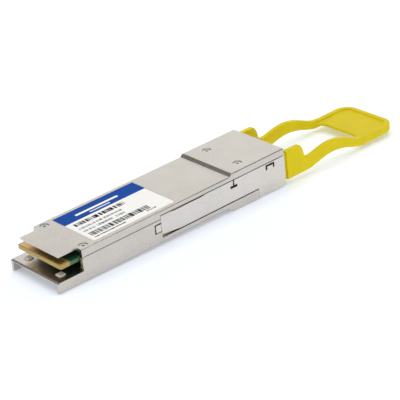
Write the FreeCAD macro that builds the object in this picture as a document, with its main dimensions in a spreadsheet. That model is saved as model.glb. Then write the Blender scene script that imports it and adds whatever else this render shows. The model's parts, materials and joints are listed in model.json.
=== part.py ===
import FreeCAD, Part
import math
import os
import re

import Sketcher

# Optical transceiver module: a pluggable metal module with an edge connector at the front, a fibre
# receptacle in its nose and a pull tab behind. Millimetres. X runs from the leading edge of the
# underside (X = 0) back to the pull tab, Y is across, Z is up, and Z = 0 is the flat underside.

doc = FreeCAD.newDocument("OpticalTransceiver")
sheet = doc.addObject("Spreadsheet::Sheet", "Sizes")
NODES = []

DIMENSIONS = [
    # envelope of the housing
    ("BodyWidth", 18.35, "width over the two shells"),
    ("BodyHeight", 8.5, "height of the part that goes into the cage"),
    ("BodyLength", 72.4, "leading edge to the back of the nose"),
    ("NoseTop", 9.15, "top of the raised nose"),
    ("NoseDrop", 1.1, "how far the nose hangs below the underside"),
    ("StepX", 54.05, "foot of the sloped step up to the nose"),
    ("StepRun", 0.8, "length of that slope"),
    ("DropX", 53.3, "where the underside begins to drop to the nose bottom"),
    ("DropRun", 1.3, "length of that slope"),
    # shells
    ("ShoulderX", 7.6, "where the full-width walls begin"),
    ("TongueTop", 2.9, "top of the lower front tongue"),
    ("LipRun", 0.45, "length of the slope on its leading edge"),
    ("LipDrop", 0.25, "height of that slope"),
    ("LipThick", 0.4, "thickness of that tongue's plate"),
    ("SkirtThick", 0.8, "thickness of its two side skirts"),
    ("LipEndX", 6.6, "back of the hollow between the skirts"),
    ("CoverTongueX", 2.2, "front of the narrow cover tongue"),
    ("CoverTongueWidth", 14.5, "width of the cover tongue"),
    ("CoverTongueThick", 0.5, "thickness of the cover tongue"),
    ("CoverThick", 0.9, "thickness of the cover's top"),
    ("FloorThick", 0.9, "thickness of the lower shell's floor"),
    ("WallThick", 1.35, "thickness of the side walls"),
    ("FlareRun", 1.2, "length of the flare inside the front mouth"),
    ("FlareEdge", 0.15, "wall left at the lip of the flare"),
    ("SeamZ", 6.3, "split line ahead of the latch"),
    ("LatchX", 31.5, "front end of the slider arms"),
    ("RearSeamZ", 7.25, "split line behind the latch"),
    ("SeamGap", 0.15, "gap left in the split line"),
    ("FloorDeepX", 12.5, "where the floor drops to its thin part"),
    ("BulkheadX", 53.0, "front of the bulkhead ahead of the nose"),
    ("FibreRoomHalf", 6.6, "half width of the room behind the bulkhead"),
    ("SocketRoomX", 61.6, "front of the room for the receptacle"),
    ("SocketRoomHalf", 6.9, "half width of that room"),
    ("SocketFloorZ", 0.2, "floor of that room"),
    ("EdgeRound", 0.5, "rounding of the long bottom edges"),
    ("TopChamfer", 0.18, "chamfer along the cover's long edges"),
    ("NoseLean", 0.1, "how far the nose's top edge leans forward"),
    ("RestPadX", 2.2, "front of the two small squares on the tongue"),
    ("RestPadSide", 1.75, "side of each square"),
    ("RestPadRise", 0.25, "height of each square"),
    ("RestPadY", 6.1, "centre of each square from the middle"),
    ("Overlap", 0.1, "how far a cut or a boss runs past the face that it meets"),
    # cover screws
    ("FrontScrewX", 9.55, "front screws from the leading edge"),
    ("FrontScrewY", 7.4, "front screws from the middle"),
    ("NoseScrewX", 59.9, "nose screws from the leading edge"),
    ("NoseScrewY", 5.65, "nose screws from the middle"),
    ("PostRadius", 1.3, "screw posts"),
    ("ScrewRadius", 0.7, "M1.4 thread"),
    ("HeadRadius", 1.05, "screw head"),
    ("HeadTall", 1.0, "height of the screw head"),
    ("HeadRoom", 0.1, "gap round the screw head"),
    ("HeadSink", 1.2, "depth of the seat below the cover's top"),
    ("ScrewLength", 4.0, "shank under the head"),
    ("ScrewSpare", 0.2, "depth left below the end of the shank"),
    ("SocketAcross", 0.45, "half the width across the corners of the drive socket"),
    ("SocketDeep", 0.8, "depth of the drive socket"),
    ("BoreGap", 0.02, "gap between a shank and its hole"),
    # product label
    ("LabelX", 12.4, "front of the label"),
    ("LabelLength", 24.8, "length of the label"),
    ("LabelWidth", 16.0, "width of the label"),
    ("LabelThick", 0.1, "thickness of the label"),
    ("LabelCorner", 0.3, "corner radius of the label"),
    ("LabelSink", 0.12, "depth of the recess that it lies in"),
    ("LabelGap", 0.1, "gap round the label"),
    # circuit board
    ("BoardX", 1.85, "leading edge of the board"),
    ("BoardEndX", 38.0, "back edge of the board"),
    ("BoardZ", 5.4, "underside of the board"),
    ("BoardThick", 1.0, "thickness of the board"),
    ("CardWidth", 16.42, "width of the edge connector"),
    ("CardChamfer", 0.3, "chamfer on its two front corners"),
    ("BoardWidth", 15.4, "width of the board between the walls"),
    ("CardEndX", 7.3, "where the board narrows"),
    ("NotchRadius", 1.5, "notches round the front screw posts"),
    ("LedgeHalf", 7.0, "inner edge of the ledges under the board"),
    ("ContactPitch", 0.8, "pitch of the edge contacts"),
    ("ContactWidth", 0.54, "width of an edge contact"),
    ("ContactLength", 1.9, "length of an edge contact"),
    ("ContactX", 2.25, "front of the edge contacts"),
    ("ContactThick", 0.04, "thickness of an edge contact"),
    # small parts in rows on the board
    ("ChipTall", 0.75, "height of the driver and amplifier chips"),
    ("PassiveX", 14.0, "first of a row of small parts"),
    ("PassivePitch", 1.6, "pitch of a row"),
    ("CapacitorY", 5.6, "rows of capacitors from the middle"),
    ("CapacitorLength", 1.0, "length of a capacitor"),
    ("CapacitorSide", 0.5, "width and height of a capacitor"),
    ("ResistorY", 2.4, "rows of resistors from the middle"),
    ("ResistorLength", 0.6, "length of a resistor"),
    ("ResistorWidth", 0.3, "width of a resistor"),
    ("ResistorTall", 0.25, "height of a resistor"),
    # optical packages, one each side of the middle
    ("PackageX", 40.0, "front of a package"),
    ("PackageEndX", 49.0, "back of a package"),
    ("PackageInnerY", 0.4, "inner side of a package"),
    ("PackageOuterY", 7.4, "outer side of a package"),
    ("PackageLowZ", 1.6, "underside of a package"),
    ("PackageFloorZ", 2.2, "floor inside a package"),
    ("PackageTopZ", 6.2, "top of its walls"),
    ("PackageWall", 0.5, "thickness of its walls"),
    ("LidThick", 0.35, "thickness of its lid"),
    ("PortHalf", 1.6, "half width of the fibre port"),
    ("PortTall", 0.4, "height of the fibre port"),
    ("CarrierX", 41.0, "front of the chip carrier"),
    ("CarrierLength", 2.0, "length of the chip carrier"),
    ("CarrierHalf", 2.0, "half width of the chip carrier and the lens array"),
    ("CarrierTopZ", 3.9, "top of the chip carrier"),
    ("DieX", 42.2, "front of the four optical chips"),
    ("DieLength", 0.5, "length of an optical chip"),
    ("DieWidth", 0.3, "width of an optical chip"),
    ("DieTall", 0.15, "height of an optical chip"),
    ("DiePitch", 0.9, "pitch of the optical chips"),
    ("LensX", 44.0, "front of the lens array"),
    ("LensLength", 1.5, "length of the lens array"),
    ("LensTopZ", 4.9, "top of the lens array"),
    ("FlexX", 36.4, "front of the flexible circuit on the board"),
    ("FlexBendX", 38.6, "outer face of its drop behind the board"),
    ("FlexLowZ", 4.5, "underside of its lower run"),
    ("FlexThick", 0.12, "thickness of the flexible circuit"),
    ("FlexInset", 1.0, "how much narrower it is than the package, each side"),
    ("RibbonX", 47.0, "front end of a fibre ribbon"),
    ("RibbonY", 3.9, "that end from the middle"),
    ("RibbonEndY", 0.65, "back end from the middle"),
    ("RibbonWidth", 1.1, "width of a ribbon"),
    ("RibbonThick", 0.28, "thickness of a ribbon"),
    # pads that carry heat to the shells
    ("ChipPadX", 26.0, "front of the pad over the chips"),
    ("ChipPadLength", 8.0, "length of that pad"),
    ("ChipPadHalf", 6.4, "half width of that pad"),
    ("PackagePadHalf", 7.0, "half width of the pads under and over the packages"),
    # release slider
    ("SheetThick", 0.42, "sheet of the release slider"),
    ("SheetGap", 0.05, "gap between the slider and the shell"),
    ("ArmTopZ", 7.2, "upper edge of the slider arms"),
    ("ArmReliefZ", 7.0, "lowered stretch of that edge"),
    ("ArmReliefX", 35.6, "front of the lowered stretch"),
    ("ArmReliefEndX", 44.6, "back of the lowered stretch"),
    ("ArmReliefRun", 1.2, "slope at each end of the lowered stretch"),
    ("ArmBottomZ", 1.68, "lower edge of the slider arms"),
    ("ArmNoseZ", 2.35, "lower edge at their front ends"),
    ("ArmTaperX", 37.5, "where that edge reaches its height"),
    ("StripTopZ", 1.4, "top of the wall strip under the arms"),
    ("WrapX", 63.1, "front of the part wrapped round the nose"),
    ("GrooveDeep", 1.0, "depth of the grooves in the wall along both edges of the arms"),
    ("GrooveLowTall", 1.1, "height of the lower groove"),
    ("GrooveHighTall", 0.5, "height of the upper groove"),
    ("GrooveX", 34.6, "front of the upper groove"),
    ("KeyRoomHalf", 1.5, "half length of the hollow behind the upright slit"),
    ("KeyRoomZ", 5.0, "bottom of that hollow"),
    ("KeyRoomDeep", 1.9, "depth of that hollow"),
    ("PocketX", 29.4, "front of the latch pocket"),
    ("PocketEndX", 34.2, "back of the latch pocket"),
    ("PocketLowZ", 3.0, "bottom of the latch pocket"),
    ("PocketHighZ", 5.5, "top of the latch pocket"),
    ("PocketDeep", 1.05, "depth of the latch pocket"),
    ("TipX", 29.95, "front of the slider's wedge tip"),
    ("TipLap", 0.5, "how far the wedge tip runs into the arm"),
    ("TipLowZ", 3.05, "bottom of the wedge tip"),
    ("TipHighZ", 5.0, "top of the wedge tip"),
    ("KeySlitX", 55.15, "upright slit over the spring lug"),
    ("KeySlitWidth", 0.45, "width of that slit"),
    ("KeySlitZ", 5.85, "bottom of that slit"),
    ("KeySlotHalf", 1.15, "half length of the slot across its foot"),
    ("KeySlotTall", 0.7, "height of that slot"),
    ("ClipX", 65.95, "front of the lanced clip that holds the pull tab"),
    ("ClipLength", 3.0, "length of the lanced clip"),
    ("ClipLowZ", 5.5, "root of the lanced clip"),
    ("ClipHighZ", 6.9, "free edge of the lanced clip"),
    ("ClipSlit", 0.55, "slit round the lanced clip"),
    ("ClipBend", 0.45, "how far the clip is bent inwards"),
    ("ClipBendDrop", 0.3, "how far below its slit the clip's bent part ends"),
    # return springs
    ("LugX", 54.6, "front of the spring lug"),
    ("LugThick", 0.6, "thickness of the spring lug"),
    ("LugHalf", 0.6, "half height of the spring lug"),
    ("LugInnerY", 7.5, "inner end of the spring lug"),
    ("ChannelInnerY", 7.3, "inner wall of the spring channel"),
    ("ChannelEndX", 63.2, "back wall of the spring channel"),
    ("SpringZ", 4.0, "height of the spring's axis"),
    ("SpringY", 8.0, "spring's axis from the middle"),
    ("ChannelHalf", 0.7, "half height of the spring channel"),
    ("CoilRadius", 0.5, "mean radius of the spring"),
    ("WireRadius", 0.1, "spring wire"),
    ("SpringPitch", 0.75, "pitch of the spring"),
    # pull tab
    ("TabPlateX", 64.4, "front of the side plates inside the nose"),
    ("TabPlateY", 8.65, "outer face of those plates"),
    ("TabPlateThick", 1.15, "thickness of those plates"),
    ("TabPlateHighZ", 7.15, "upper edge of those plates"),
    ("TabPlateLap", 1.5, "how far they run into the arms"),
    ("TabWindowSpare", 0.45, "how far the window for the clip reaches past it, along X and down"),
    ("TabRoomX", 64.2, "front of the room for the side plates"),
    ("TabRoomY", 7.45, "inner wall of that room"),
    ("TabLowZ", 0.05, "lower edge of the plates and of the front of the arms"),
    ("ArmX", 73.25, "front of the arms behind the nose"),
    ("ArmOuterY", 9.15, "outer face of the arms"),
    ("ArmThick", 1.4, "thickness of the arms"),
    ("ArmFrontZ", 7.9, "upper edge of the arms just behind the nose"),
    ("TabEndX", 112.9, "back edge of the finger pad"),
    ("RimLowZ", -0.8, "underside of the pad's rim"),
    ("RimTopZ", 1.15, "top of the pad's rim"),
    ("RimThick", 1.3, "thickness of the rim across the back"),
    ("RimRound", 0.8, "rounding of the rim's lower back edge"),
    ("PadCorner", 3.8, "outer corner radius of the finger pad"),
    ("PadX", 101.25, "front edge of the pad's web"),
    ("PadFillet", 3.0, "fillet between that edge and the arms"),
    ("PadLowZ", 0.0, "underside of the web"),
    ("PadTopZ", 0.78, "upper face of the web"),
    # fibre receptacle and ferrule
    ("ReceptacleX", 61.8, "front of the receptacle"),
    ("ReceptacleHalf", 6.85, "half width of the receptacle"),
    ("ReceptacleTopZ", 8.2, "top of the receptacle"),
    ("ReceptacleEndX", 72.2, "rear face of the receptacle"),
    ("PlugHalf", 5.0, "half width of the plug opening"),
    ("PlugLowZ", 0.95, "bottom of the plug opening"),
    ("PlugHighZ", 7.45, "top of the plug opening"),
    ("ReceptacleFront", 1.0, "thickness of the receptacle's front wall"),
    ("KeywayHalf", 1.5, "half width of the keyway"),
    ("KeywayDeep", 0.45, "depth of the keyway"),
    ("HookLength", 5.2, "length of the latch hooks for the plug"),
    ("HookThick", 0.5, "thickness of a hook"),
    ("HookY", 4.5, "outer face of a hook"),
    ("HookHalfTall", 1.4, "half height of a hook"),
    ("HookBarb", 0.35, "barb of a hook"),
    ("HookBarbLength", 0.7, "length of that barb"),
    ("FerruleX", 56.6, "front of the ferrule"),
    ("FerruleLength", 8.0, "length of the ferrule"),
    ("FerruleWidth", 6.4, "width of the ferrule"),
    ("FerruleTall", 2.5, "height of the ferrule"),
    ("FerruleZ", 4.2, "height of the fibre axis"),
    ("FerruleGap", 0.05, "gap round the ferrule in the receptacle"),
    ("FerruleFlange", 0.5, "how far the ferrule's flange stands out"),
    ("FerruleFlangeLong", 2.0, "length of that flange"),
    ("GuidePinRadius", 0.35, "guide pins"),
    ("GuidePinSpan", 4.6, "distance between the guide pins"),
    ("GuidePinX", 57.6, "front ends of the guide pins"),
    ("GuidePinLength", 9.4, "length of a guide pin"),
    ("ClampLong", 1.2, "length of the pin clamp"),
    ("ClampRise", 0.4, "how far the clamp stands over the ferrule"),
    ("ClampWindowHalf", 1.6, "half width of the clamp's fibre window"),
    ("ClampWindowTall", 0.6, "half height of that window"),
    ("ShieldWindowHalf", 4.0, "half width of the window in the receptacle's shield"),
    ("ShieldWindowLowZ", 2.0, "bottom of that window"),
    ("ShieldWindowHighZ", 6.4, "top of that window"),
    ("ShieldGap", 0.02, "gap between the shield and the room's front wall"),
]


def fill_sheet():
    """Puts every driving dimension on its own row: name, value with its alias, meaning."""
    for row, (alias, value, meaning) in enumerate(DIMENSIONS, start=1):
        sheet.set(f"A{row}", alias)
        sheet.set(f"B{row}", str(value))
        sheet.setAlias(f"B{row}", alias)
        sheet.set(f"C{row}", meaning)
    doc.recompute()


def size(alias):
    """A dimension's number, for shapes that are worked out in code."""
    return float(getattr(sheet, alias))


def bind(target, prop, text):
    """Ties a property to an expression in which every word is an alias of the sheet."""
    target.setExpression(prop, re.sub(r"[A-Za-z]+", lambda word: "Sizes." + word.group(), text))


def node(piece, label):
    """Names a finished sub-part."""
    piece.Label = label
    NODES.append(piece)
    return piece


# ---- Part primitives and booleans, all bound to the sheet ----


def block(name, x, y, z):
    """A box between (low, high) expressions along each axis."""
    solid = doc.addObject("Part::Box", name)
    for axis, prop, (low, high) in zip("xyz", ("Length", "Width", "Height"), (x, y, z)):
        bind(solid, prop, f"({high}) - ({low})")
        bind(solid, f"Placement.Base.{axis}", low)
    return solid


def rod(name, x, y, z, radius, length, along="z"):
    """A cylinder that starts at (x, y, z) and runs up, or back along X."""
    solid = doc.addObject("Part::Cylinder", name)
    if along == "x":
        solid.Placement = FreeCAD.Placement(FreeCAD.Vector(), FreeCAD.Rotation(FreeCAD.Vector(0, 1, 0), 90))
    bind(solid, "Radius", radius)
    bind(solid, "Height", length)
    for axis, place in zip("xyz", (x, y, z)):
        bind(solid, f"Placement.Base.{axis}", place)
    return solid


def fuse(name, pieces):
    joined = doc.addObject("Part::MultiFuse", name)
    joined.Shapes = pieces
    return joined


def cut(name, base, tools):
    """The base less every tool."""
    result = doc.addObject("Part::Cut", name)
    result.Base = base
    result.Tool = tools[0] if len(tools) == 1 else fuse(name + "Tools", tools)
    return result


def group(name, pieces):
    """Separate solids that share one node."""
    compound = doc.addObject("Part::Compound", name)
    compound.Links = pieces
    return compound


SIDES = (("Right", -1), ("Left", 1))


def both_sides(build):
    """Calls build with each side's name and sign."""
    return [build(side, sign) for side, sign in SIDES]


def across(sign, low, high):
    """Y limits on one side of the middle, given outwards from it, in rising order."""
    return (low, high) if sign > 0 else (f"-({high})", f"-({low})")


def wide(half):
    """Y limits that reach equally far each side of the middle."""
    return (f"-({half})", f"{half}")


# ---- PartDesign bodies with sketches bound to the sheet ----


def body(label):
    return node(doc.addObject("PartDesign::Body", label), label)


def sketch_on(owner, name, plane, offset="0"):
    """An empty sketch on one of the body's own origin planes, moved along its normal."""
    sketch = owner.newObject("Sketcher::SketchObject", name)
    support = next(item for item in owner.Origin.OriginFeatures if item.Role == plane)
    sketch.AttachmentSupport = (support, [""])
    sketch.MapMode = "FlatFace"
    bind(sketch, "AttachmentOffset.Base.z", offset)
    return sketch


def fix_point(sketch, geometry, end, name, x, y):
    """Holds one point of a sketch at two bound distances from the origin."""
    for kind, text in (("DistanceX", x), ("DistanceY", y)):
        index = sketch.addConstraint(Sketcher.Constraint(kind, -1, 1, geometry, end, 1.0))
        label = name + kind[-1]
        sketch.renameConstraint(index, label)
        bind(sketch, f"Constraints.{label}", text)


def polygon(sketch, corners):
    """A closed outline of straight lines through bound corners."""
    count = len(corners)
    start = sketch.GeometryCount
    places = [FreeCAD.Vector(i % 5 + 1, i + 1, 0) for i in range(count)]
    for i in range(count):
        sketch.addGeometry(Part.LineSegment(places[i], places[(i + 1) % count]))
    for i in range(count):
        following = start + (i + 1) % count
        sketch.addConstraint(Sketcher.Constraint("Coincident", start + i, 2, following, 1))
    for i, (x, y) in enumerate(corners):
        fix_point(sketch, start + i, 1, f"Corner{start + i}", x, y)


def rectangle(sketch, x, y):
    """A rectangle between (low, high) expressions."""
    polygon(sketch, [(x[0], y[0]), (x[1], y[0]), (x[1], y[1]), (x[0], y[1])])


def circle(sketch, x, y, radius):
    geometry = sketch.addGeometry(Part.Circle(FreeCAD.Vector(), FreeCAD.Vector(0, 0, 1), 1))
    fix_point(sketch, geometry, 3, f"Centre{geometry}", x, y)
    index = sketch.addConstraint(Sketcher.Constraint("Radius", geometry, 1.0))
    sketch.renameConstraint(index, f"Radius{geometry}")
    bind(sketch, f"Constraints.Radius{geometry}", radius)


def feature(owner, kind, name, sketch, length, both=False):
    """A Pad or Pocket; a Pad grows along the sketch's normal and a Pocket cuts against it."""
    made = owner.newObject(f"PartDesign::{kind}", name)
    made.Profile = sketch
    bind(made, "Length", length)
    made.Midplane = both
    return made


def pocket_down(owner, name, x, y, z):
    """Cuts a box-shaped room from its top z[1] down to its floor z[0]."""
    sketch = sketch_on(owner, name + "Outline", "XY_Plane", z[1])
    rectangle(sketch, x, y)
    return feature(owner, "Pocket", name, sketch, f"({z[1]}) - ({z[0]})")


def pad_up(owner, name, x, y, z):
    """Adds a box-shaped block from z[0] up to z[1]."""
    sketch = sketch_on(owner, name + "Outline", "XY_Plane", z[0])
    rectangle(sketch, x, y)
    return feature(owner, "Pad", name, sketch, f"({z[1]}) - ({z[0]})")


def screw_circles(owner, kind, name, radius, z, front=True, nose=True):
    """Posts or holes at the cover screws, between two heights."""
    places = []
    if front:
        places.append(("FrontScrewX", "FrontScrewY"))
    if nose:
        places.append(("NoseScrewX", "NoseScrewY"))
    level = z[0] if kind == "Pad" else z[1]
    sketch = sketch_on(owner, name + "Outline", "XY_Plane", level)
    for x, y in places:
        circle(sketch, x, y, radius)
        circle(sketch, x, "-" + y, radius)
    return feature(owner, kind, name, sketch, f"({z[1]}) - ({z[0]})")


def dress_edges(owner, kind, name, base, chosen, amount):
    """Fillets or chamfers the edges that the test accepts."""
    doc.recompute()
    names = [f"Edge{i}" for i, edge in enumerate(base.Shape.Edges, start=1) if chosen(edge)]
    dressed = owner.newObject(f"PartDesign::{kind}", name)
    dressed.Base = (base, names)
    bind(dressed, "Radius" if kind == "Fillet" else "Size", amount)
    return dressed


def runs_along_x(edge, y, z):
    """True for a straight edge parallel to X at the given |y| and z."""
    ends = [vertex.Point for vertex in edge.Vertexes]
    if len(ends) != 2 or abs(ends[0].x - ends[1].x) < 0.5:
        return False
    return all(abs(abs(end.y) - y) < 0.01 and abs(end.z - z) < 0.01 for end in ends)


HALF = "BodyWidth / 2"
INNER = "BodyWidth / 2 - WallThick"
ARM_WALL = "BodyWidth / 2 - SheetThick - SheetGap"
OUTSIDE = "BodyWidth / 2 + 1"
BEYOND = "BodyLength + 1"
BEFORE = "ShoulderX - 1"
UNDER = "-NoseDrop - 1"


def cut_mouth_flare(shell, name, z):
    """Thins the walls to an edge at the front mouth, as a lead-in for the host connector."""
    sketch = sketch_on(shell, name + "Outline", "XY_Plane", z[1])
    lip, back = f"{HALF} - FlareEdge", "ShoulderX + FlareRun"
    polygon(sketch, [
        (BEFORE, f"-({lip})"), ("ShoulderX", f"-({lip})"), (back, f"-({INNER})"),
        (back, INNER), ("ShoulderX", lip), (BEFORE, lip),
    ])
    return feature(shell, "Pocket", name, sketch, f"({z[1]}) - ({z[0]})")


def make_lower_shell():
    """Die-cast base: front tongue, floor, side walls, nose bottom, posts and slider tracks."""
    shell = body("lower_shell")
    side = sketch_on(shell, "LowerSide", "XZ_Plane")
    wrap_z = "SheetThick + SheetGap - NoseDrop"
    polygon(side, [
        ("0", "0"), ("DropX", "0"), ("DropX + DropRun", "-NoseDrop"), ("WrapX", "-NoseDrop"),
        ("WrapX", wrap_z), ("BodyLength", wrap_z), ("BodyLength", "RearSeamZ"),
        ("LatchX", "RearSeamZ"), ("LatchX", "SeamZ"), ("ShoulderX", "SeamZ"),
        ("ShoulderX", "TongueTop"), ("LipRun", "TongueTop"), ("0", "TongueTop - LipDrop"),
    ])
    base = feature(shell, "Pad", "LowerBlock", side, "BodyWidth", both=True)
    half = size("BodyWidth") / 2
    dress_edges(shell, "Fillet", "LowerRounding", base,
                lambda edge: runs_along_x(edge, half, 0), "EdgeRound")

    top = "RearSeamZ + 1"
    pocket_down(shell, "TongueHollow", ("-1", "LipEndX"), wide(f"{HALF} - SkirtThick"),
                (UNDER, "TongueTop - LipThick"))
    pocket_down(shell, "BoardRoom", (BEFORE, "BulkheadX"), wide(INNER), ("BoardZ", top))
    pocket_down(shell, "MouthRoom", (BEFORE, "FloorDeepX"), wide("LedgeHalf"), ("TongueTop", top))
    cut_mouth_flare(shell, "MouthFlare", ("TongueTop", top))
    pocket_down(shell, "DeepRoom", ("FloorDeepX - Overlap", "BoardEndX"), wide("LedgeHalf"),
                ("FloorThick", top))
    pocket_down(shell, "PackageRoom", ("BoardEndX - Overlap", "BulkheadX"), wide(INNER),
                ("FloorThick", top))
    pocket_down(shell, "FibreRoom", ("BulkheadX - Overlap", "SocketRoomX"), wide("FibreRoomHalf"),
                ("FloorThick", top))
    pocket_down(shell, "SocketRoom", ("SocketRoomX - Overlap", BEYOND), wide("SocketRoomHalf"),
                ("SocketFloorZ", top))

    for side_name, sign in SIDES:
        outside = across(sign, ARM_WALL, OUTSIDE)
        pocket_down(shell, f"ArmTrack{side_name}", ("LatchX", BEYOND), outside, ("StripTopZ", top))
        behind = across(sign, f"{HALF} - GrooveDeep", OUTSIDE)
        pocket_down(shell, f"LowGroove{side_name}", ("LatchX", "WrapX"), behind,
                    ("StripTopZ", "StripTopZ + GrooveLowTall"))
        pocket_down(shell, f"HighGroove{side_name}", ("GrooveX", "WrapX"), behind,
                    ("RearSeamZ - GrooveHighTall", top))
        pocket_down(shell, f"KeyRoom{side_name}", ("KeySlitX - KeyRoomHalf", "KeySlitX + KeyRoomHalf"),
                    across(sign, f"{HALF} - KeyRoomDeep", OUTSIDE), ("KeyRoomZ", top))
        pocket_down(shell, f"WrapTrack{side_name}", ("WrapX", BEYOND), outside, (UNDER, top))
        pocket_down(shell, f"TabTrack{side_name}", ("TabRoomX", BEYOND),
                    across(sign, "TabRoomY", OUTSIDE), (UNDER, top))
        pocket_down(shell, f"LatchPocket{side_name}", ("PocketX", "PocketEndX"),
                    across(sign, f"{HALF} - PocketDeep", OUTSIDE), ("PocketLowZ", "PocketHighZ"))
        pocket_down(shell, f"SpringChannel{side_name}", ("LugX - Overlap", "ChannelEndX"),
                    across(sign, "ChannelInnerY", OUTSIDE),
                    ("SpringZ - ChannelHalf", "SpringZ + ChannelHalf"))
        pad_up(shell, f"RestPad{side_name}", ("RestPadX", "RestPadX + RestPadSide"),
               across(sign, "RestPadY - RestPadSide / 2", "RestPadY + RestPadSide / 2"),
               ("TongueTop - Overlap", "TongueTop + RestPadRise"))

    depth = "(HeadSink + ScrewLength + ScrewSpare)"
    screw_circles(shell, "Pad", "FrontPosts", "PostRadius",
                  ("TongueTop - Overlap", "SeamZ"), nose=False)
    screw_circles(shell, "Pad", "NosePosts", "PostRadius",
                  ("FloorThick - Overlap", "RearSeamZ"), front=False)
    screw_circles(shell, "Pocket", "FrontThreads", "ScrewRadius + BoreGap",
                  (f"BodyHeight - {depth}", "SeamZ + Overlap"), nose=False)
    screw_circles(shell, "Pocket", "NoseThreads", "ScrewRadius + BoreGap",
                  (f"NoseTop - {depth}", "RearSeamZ + Overlap"), front=False)


def make_upper_shell():
    """Cover: flat top, side flanges, narrow front tongue, sloped step and raised nose."""
    shell = body("upper_shell")
    seam = "SeamZ + SeamGap"
    rear_seam = "RearSeamZ + SeamGap"
    side = sketch_on(shell, "CoverSide", "XZ_Plane")
    polygon(side, [
        ("ShoulderX", seam), ("LatchX", seam), ("LatchX", rear_seam), ("BodyLength", rear_seam),
        ("BodyLength - NoseLean", "NoseTop"), ("StepX + StepRun", "NoseTop"),
        ("StepX", "BodyHeight"), ("ShoulderX", "BodyHeight"),
    ])
    base = feature(shell, "Pad", "CoverBlock", side, "BodyWidth", both=True)
    half = size("BodyWidth") / 2
    body_top = size("BodyHeight")
    nose_top = size("NoseTop")
    dress_edges(shell, "Chamfer", "CoverChamfer", base,
                lambda edge: runs_along_x(edge, half, body_top) or runs_along_x(edge, half, nose_top),
                "TopChamfer")
    pad_up(shell, "CoverTongue", ("CoverTongueX", "ShoulderX + 1"), wide("CoverTongueWidth / 2"),
           ("BodyHeight - CoverTongueThick", "BodyHeight"))
    under = "SeamZ - 1"
    ceiling = "BodyHeight - CoverThick"
    pocket_down(shell, "CoverRoom", (BEFORE, "BulkheadX"), wide(INNER), (under, ceiling))
    cut_mouth_flare(shell, "CoverFlare", (under, ceiling))
    pocket_down(shell, "CoverFibreRoom", ("BulkheadX - Overlap", "SocketRoomX"),
                wide("FibreRoomHalf"), (under, ceiling))
    pocket_down(shell, "CoverSocketRoom", ("SocketRoomX - Overlap", BEYOND),
                wide("SocketRoomHalf"), (under, "NoseTop - CoverThick"))
    pocket_down(shell, "LabelRecess", ("LabelX - LabelGap", "LabelX + LabelLength + LabelGap"),
                wide("LabelWidth / 2 + LabelGap"), ("BodyHeight - LabelSink", "BodyHeight + 1"))
    screw_circles(shell, "Pad", "FrontBosses", "PostRadius",
                  (seam, f"{ceiling} + Overlap"), nose=False)
    screw_circles(shell, "Pad", "NoseBosses", "PostRadius",
                  (rear_seam, f"{ceiling} + Overlap"), front=False)
    screw_circles(shell, "Pocket", "FrontClearance", "ScrewRadius + BoreGap",
                  (under, "BodyHeight + 1"), nose=False)
    screw_circles(shell, "Pocket", "NoseClearance", "ScrewRadius + BoreGap",
                  (under, "NoseTop + 1"), front=False)
    screw_circles(shell, "Pocket", "FrontSeats", "HeadRadius + HeadRoom",
                  ("BodyHeight - HeadSink", "BodyHeight + 1"), nose=False)
    screw_circles(shell, "Pocket", "NoseSeats", "HeadRadius + HeadRoom",
                  ("NoseTop - HeadSink", "NoseTop + 1"), front=False)


def make_screws(label, x, y, cover_top):
    """A pair of M1.4 screws with a hexagonal socket, one each side of the middle."""
    def screw(side, sign):
        place = f"{sign} * {y}"
        seat = f"{cover_top} - HeadSink"
        head = rod(f"{label}Head{side}", x, place, seat, "HeadRadius", "HeadTall")
        shank = rod(f"{label}Shank{side}", x, place, f"{seat} - ScrewLength", "ScrewRadius",
                    "ScrewLength")
        socket = doc.addObject("Part::Prism", f"{label}Socket{side}")
        socket.Polygon = 6
        bind(socket, "Circumradius", "SocketAcross")
        bind(socket, "Height", "SocketDeep + 1")
        for axis, text in zip("xyz", (x, place, f"{seat} + HeadTall - SocketDeep")):
            bind(socket, f"Placement.Base.{axis}", text)
        whole = fuse(f"{label}Blank{side}", [head, shank])
        return cut(f"{label}Screw{side}", whole, [socket])

    node(group(label, both_sides(screw)), label)


def make_label():
    """Thin film label with rounded corners in its recess."""
    label = body("product_label")
    base = pad_up(label, "LabelFilm", ("LabelX", "LabelX + LabelLength"), wide("LabelWidth / 2"),
                  ("BodyHeight - LabelSink", "BodyHeight - LabelSink + LabelThick"))
    dress_edges(label, "Fillet", "LabelCorners", base,
                lambda edge: abs(edge.Vertexes[0].Z - edge.Vertexes[-1].Z) > 0.05, "LabelCorner")


def make_circuit_board():
    """Board with its edge connector in front and notches round the screw posts."""
    board = body("circuit_board")
    plan = sketch_on(board, "BoardPlan", "XY_Plane", "BoardZ")
    near_half = [("BoardX", "CardWidth / 2 - CardChamfer"), ("BoardX + CardChamfer", "CardWidth / 2"),
                 ("CardEndX", "CardWidth / 2"), ("CardEndX", "BoardWidth / 2"),
                 ("BoardEndX", "BoardWidth / 2")]
    polygon(plan, [(x, f"-({y})") for x, y in near_half] + near_half[::-1])
    feature(board, "Pad", "BoardLayer", plan, "BoardThick")
    screw_circles(board, "Pocket", "BoardNotches", "NotchRadius",
                  ("BoardZ - Overlap", "BoardZ + BoardThick + Overlap"), nose=False)


CONTACTS_PER_SIDE = 19


def make_contacts(label, low_z):
    """One row of gold edge contacts."""
    middle = (CONTACTS_PER_SIDE - 1) / 2
    rows = []
    for index in range(CONTACTS_PER_SIDE):
        centre = f"{index - middle} * ContactPitch"
        rows.append(block(f"{label}{index}", ("ContactX", "ContactX + ContactLength"),
                          (f"{centre} - ContactWidth / 2", f"{centre} + ContactWidth / 2"),
                          (low_z, f"{low_z} + ContactThick")))
    node(group(label, rows), label)


TOP = "BoardZ + BoardThick"

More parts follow.
